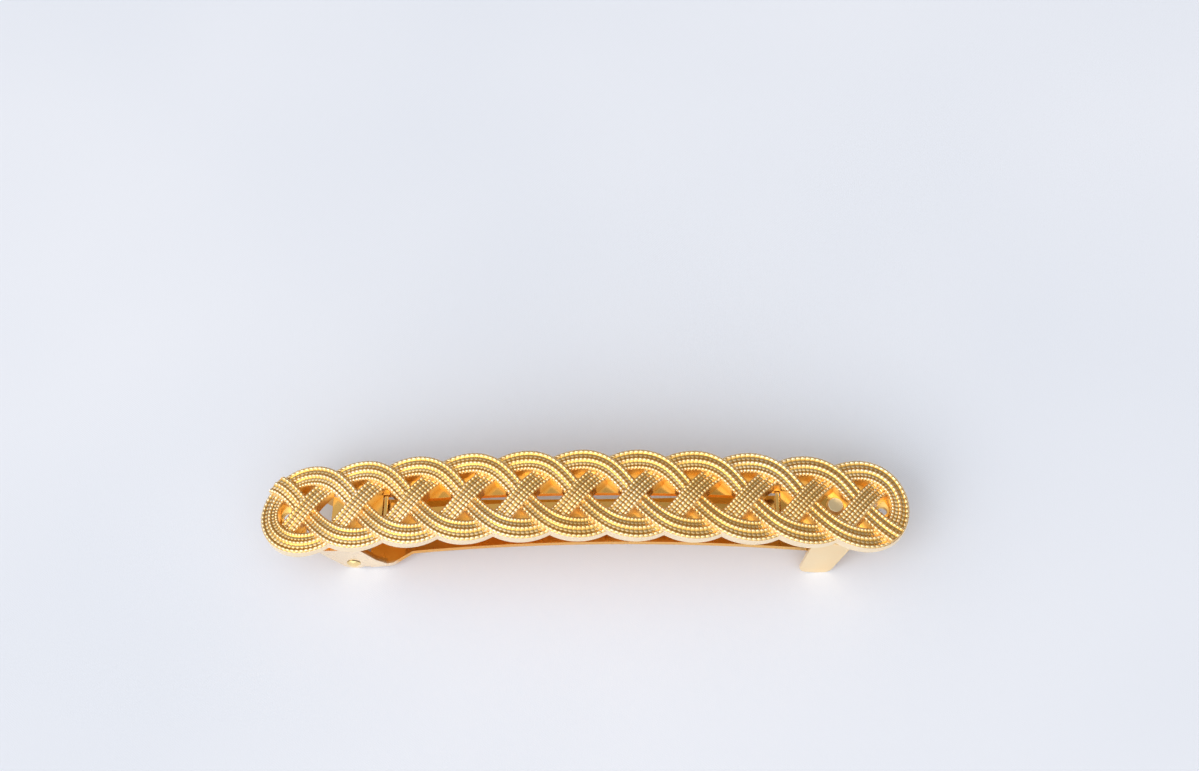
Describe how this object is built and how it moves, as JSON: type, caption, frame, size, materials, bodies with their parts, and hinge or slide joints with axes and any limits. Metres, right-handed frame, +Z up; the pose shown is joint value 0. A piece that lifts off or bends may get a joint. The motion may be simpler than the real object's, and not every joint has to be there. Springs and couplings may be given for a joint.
{
  "type": "hair barrette",
  "caption": "Bowed hair barrette: openwork plaited metal top plate over a base bar with a hinged clasp arm, tension bar and two-winged spring catch.",
  "frame": {"origin": "middle of the bottom of the bounding box: the surface that the barrette rests on, under its centre", "axes": "+X from the hinge end to the catch end, +Z up through the braided plate, Y across the barrette"},
  "size_m": [0.083, 0.012, 0.0141],
  "materials": {
    "plated_braid": "bright gold plating over a cast, beaded surface",
    "plated_base": "gold plating over stamped sheet",
    "plated_arm": "gold plating over stamped sheet",
    "plated_spring": "gold plating over spring sheet",
    "plated_wing": "gold plating over spring sheet, softly polished",
    "plated_pin": "polished gold plating"
  },
  "bodies": {
    "barrette_back": {"braided_top_plate": "plated_braid", "base_bar": "plated_base", "hinge_pin": "plated_pin", "catch_saddle": "plated_spring", "catch_rivet": "plated_pin"},
    "arm": {"clasp_arm": "plated_arm"},
    "tension": {"tension_bar": "plated_spring"},
    "front_wing": {"front_catch_wing": "plated_wing"},
    "rear_wing": {"rear_catch_wing": "plated_wing"}
  },
  "joints": [
    {"name": "clasp_hinge", "type": "hinge", "parent": "barrette_back", "child": "arm", "pos_m": [-0.0302, 0, 0.0017], "axis": [0, 1, 0], "range_deg": [0, 100]},
    {"name": "tension_press", "type": "slide", "parent": "barrette_back", "child": "tension", "axis": [0, 0, 1], "range_m": [0, 0.0004], "stiffness_N_per_m": 500},
    {"name": "front_wing_flex", "type": "hinge", "parent": "barrette_back", "child": "front_wing", "pos_m": [0.03184, -0.00417, 0.00748], "axis": [-0.9774, 0, 0.2112], "range_deg": [0, 8], "stiffness_Nm_per_rad": 0.02},
    {"name": "rear_wing_flex", "type": "hinge", "parent": "barrette_back", "child": "rear_wing", "pos_m": [0.03184, 0.00417, 0.00748], "axis": [0.9774, 0, -0.2112], "range_deg": [0, 8], "stiffness_Nm_per_rad": 0.02}
  ],
  "couplings": [
    {"joint": "rear_wing_flex", "follows": "front_wing_flex", "ratio": 1}
  ]
}
